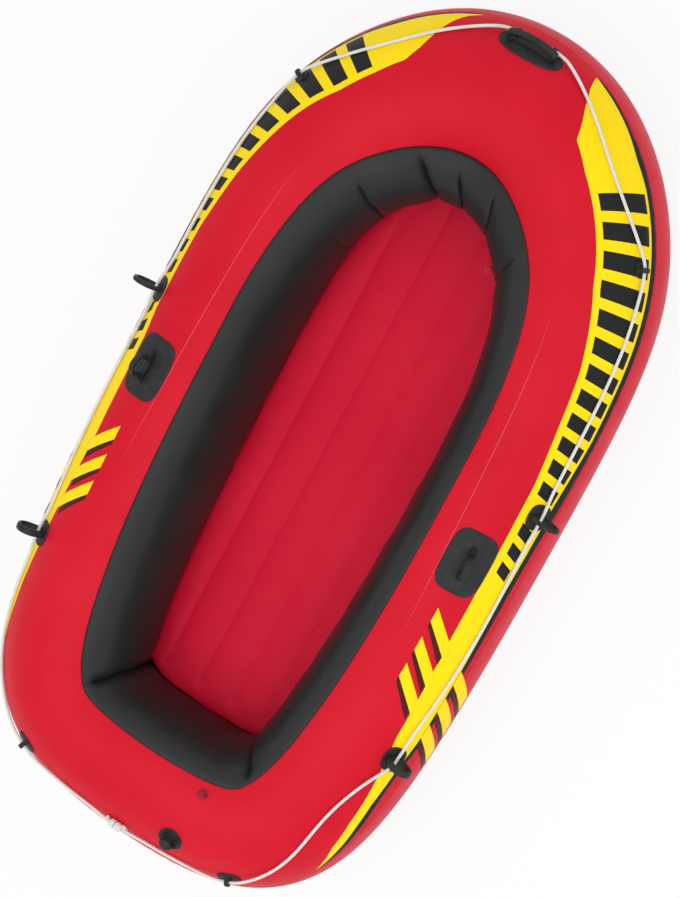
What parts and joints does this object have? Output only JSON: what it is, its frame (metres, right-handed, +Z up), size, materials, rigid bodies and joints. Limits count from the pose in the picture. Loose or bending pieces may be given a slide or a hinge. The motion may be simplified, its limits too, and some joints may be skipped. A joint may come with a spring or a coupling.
{
  "type": "inflatable rowing boat",
  "caption": "Inflatable rowing boat with a round air tube, inner chamber, ridged air floor, screw valve, oar locks, oar holders, bow handle and grab rope",
  "frame": {"origin": "on the ground under the middle of the boat's length and width", "axes": "+Y to the bow, +X to starboard, +Z up"},
  "size_m": [1.0524, 1.96, 0.3774],
  "materials": {
    "red_vinyl": "bright red welded vinyl sheet, satin, faintly creased",
    "lower_red_vinyl": "slightly duller red welded vinyl sheet",
    "floor_red_vinyl": "dark red fine-grained vinyl sheet",
    "black_vinyl": "black fine-grained vinyl sheet",
    "moulded_fittings": "black moulded vinyl",
    "rope": "white braided cord"
  },
  "bodies": {
    "hull": {"bow_handle_eye_port": "moulded_fittings", "bow_handle_eye_starboard": "moulded_fittings", "bow_handle_grip": "moulded_fittings", "bow_handle_patch": "moulded_fittings", "chamber_valve_stem": "red_vinyl", "chamber_wall": "lower_red_vinyl", "floor_beam_1": "lower_red_vinyl", "floor_beam_2": "lower_red_vinyl", "floor_beam_3": "lower_red_vinyl", "floor_beam_4": "lower_red_vinyl", "floor_bottom_sheet": "lower_red_vinyl", "floor_edge_band": "lower_red_vinyl", "floor_top_sheet": "floor_red_vinyl", "floor_valve_stem": "floor_red_vinyl", "grab_rope": "rope", "hull_bottom_skin": "lower_red_vinyl", "hull_top_skin": "red_vinyl", "inner_chamber_skin": "black_vinyl", "oar_holder_aft_patch_port": "moulded_fittings", "oar_holder_aft_patch_starboard": "moulded_fittings", "oar_holder_aft_port": "moulded_fittings", "oar_holder_aft_starboard": "moulded_fittings", "oar_holder_mid_patch_port": "moulded_fittings", "oar_holder_mid_patch_starboard": "moulded_fittings", "oar_holder_mid_port": "moulded_fittings", "oar_holder_mid_starboard": "moulded_fittings", "oarlock_patch_port": "moulded_fittings", "oarlock_patch_starboard": "moulded_fittings", "oarlock_port": "moulded_fittings", "oarlock_starboard": "moulded_fittings", "rope_knot": "rope", "rope_tab_front_patch_port": "moulded_fittings", "rope_tab_front_patch_starboard": "moulded_fittings", "rope_tab_front_port": "moulded_fittings", "rope_tab_front_starboard": "moulded_fittings", "rope_tab_stern_patch_port": "moulded_fittings", "rope_tab_stern_patch_starboard": "moulded_fittings", "rope_tab_stern_port": "moulded_fittings", "rope_tab_stern_starboard": "moulded_fittings", "valve_base": "moulded_fittings"},
    "insert_seal": {"valve_insert_seal": "moulded_fittings"},
    "insert": {"valve_insert": "moulded_fittings", "valve_tether": "moulded_fittings"},
    "cap_seal": {"valve_cap_seal": "moulded_fittings"},
    "cap": {"valve_cap": "moulded_fittings"},
    "flap": {"valve_flap": "moulded_fittings"},
    "chamber_plug": {"chamber_valve_plug": "red_vinyl"},
    "floor_plug": {"floor_valve_plug": "floor_red_vinyl"}
  },
  "joints": [
    {"name": "insert_rise", "type": "slide", "parent": "hull", "child": "insert_seal", "axis": [0.0534, -0.4508, 0.891], "range_m": [0, 0.0061]},
    {"name": "insert_turn", "type": "hinge", "parent": "insert_seal", "child": "insert", "pos_m": [0.12587, -0.88245, 0.31242], "axis": [0.0534, -0.4508, 0.891], "range_deg": [0, 720]},
    {"name": "cap_rise", "type": "slide", "parent": "insert", "child": "cap_seal", "axis": [0.0534, -0.4508, 0.891], "range_m": [0, 0.0061]},
    {"name": "cap_turn", "type": "hinge", "parent": "cap_seal", "child": "cap", "pos_m": [0.12587, -0.88245, 0.31242], "axis": [0.0534, -0.4508, 0.891], "range_deg": [0, 720]},
    {"name": "flap_open", "type": "slide", "parent": "insert", "child": "flap", "axis": [-0.0534, 0.4508, -0.891], "range_m": [0, 0.0025]},
    {"name": "chamber_plug_lift", "type": "hinge", "parent": "hull", "child": "chamber_plug", "pos_m": [0.15254, -0.74944, 0.32889], "axis": [-0.1639, 0.939, -0.3024], "range_deg": [0, 150]},
    {"name": "floor_plug_lift", "type": "hinge", "parent": "hull", "child": "floor_plug", "pos_m": [0.099, 0.48, 0.0804], "axis": [0, 1, 0], "range_deg": [0, 150]}
  ],
  "couplings": [
    {"joint": "insert_rise", "follows": "insert_turn", "m_per_rad": 0.00047746},
    {"joint": "cap_rise", "follows": "cap_turn", "m_per_rad": 0.00047746}
  ]
}
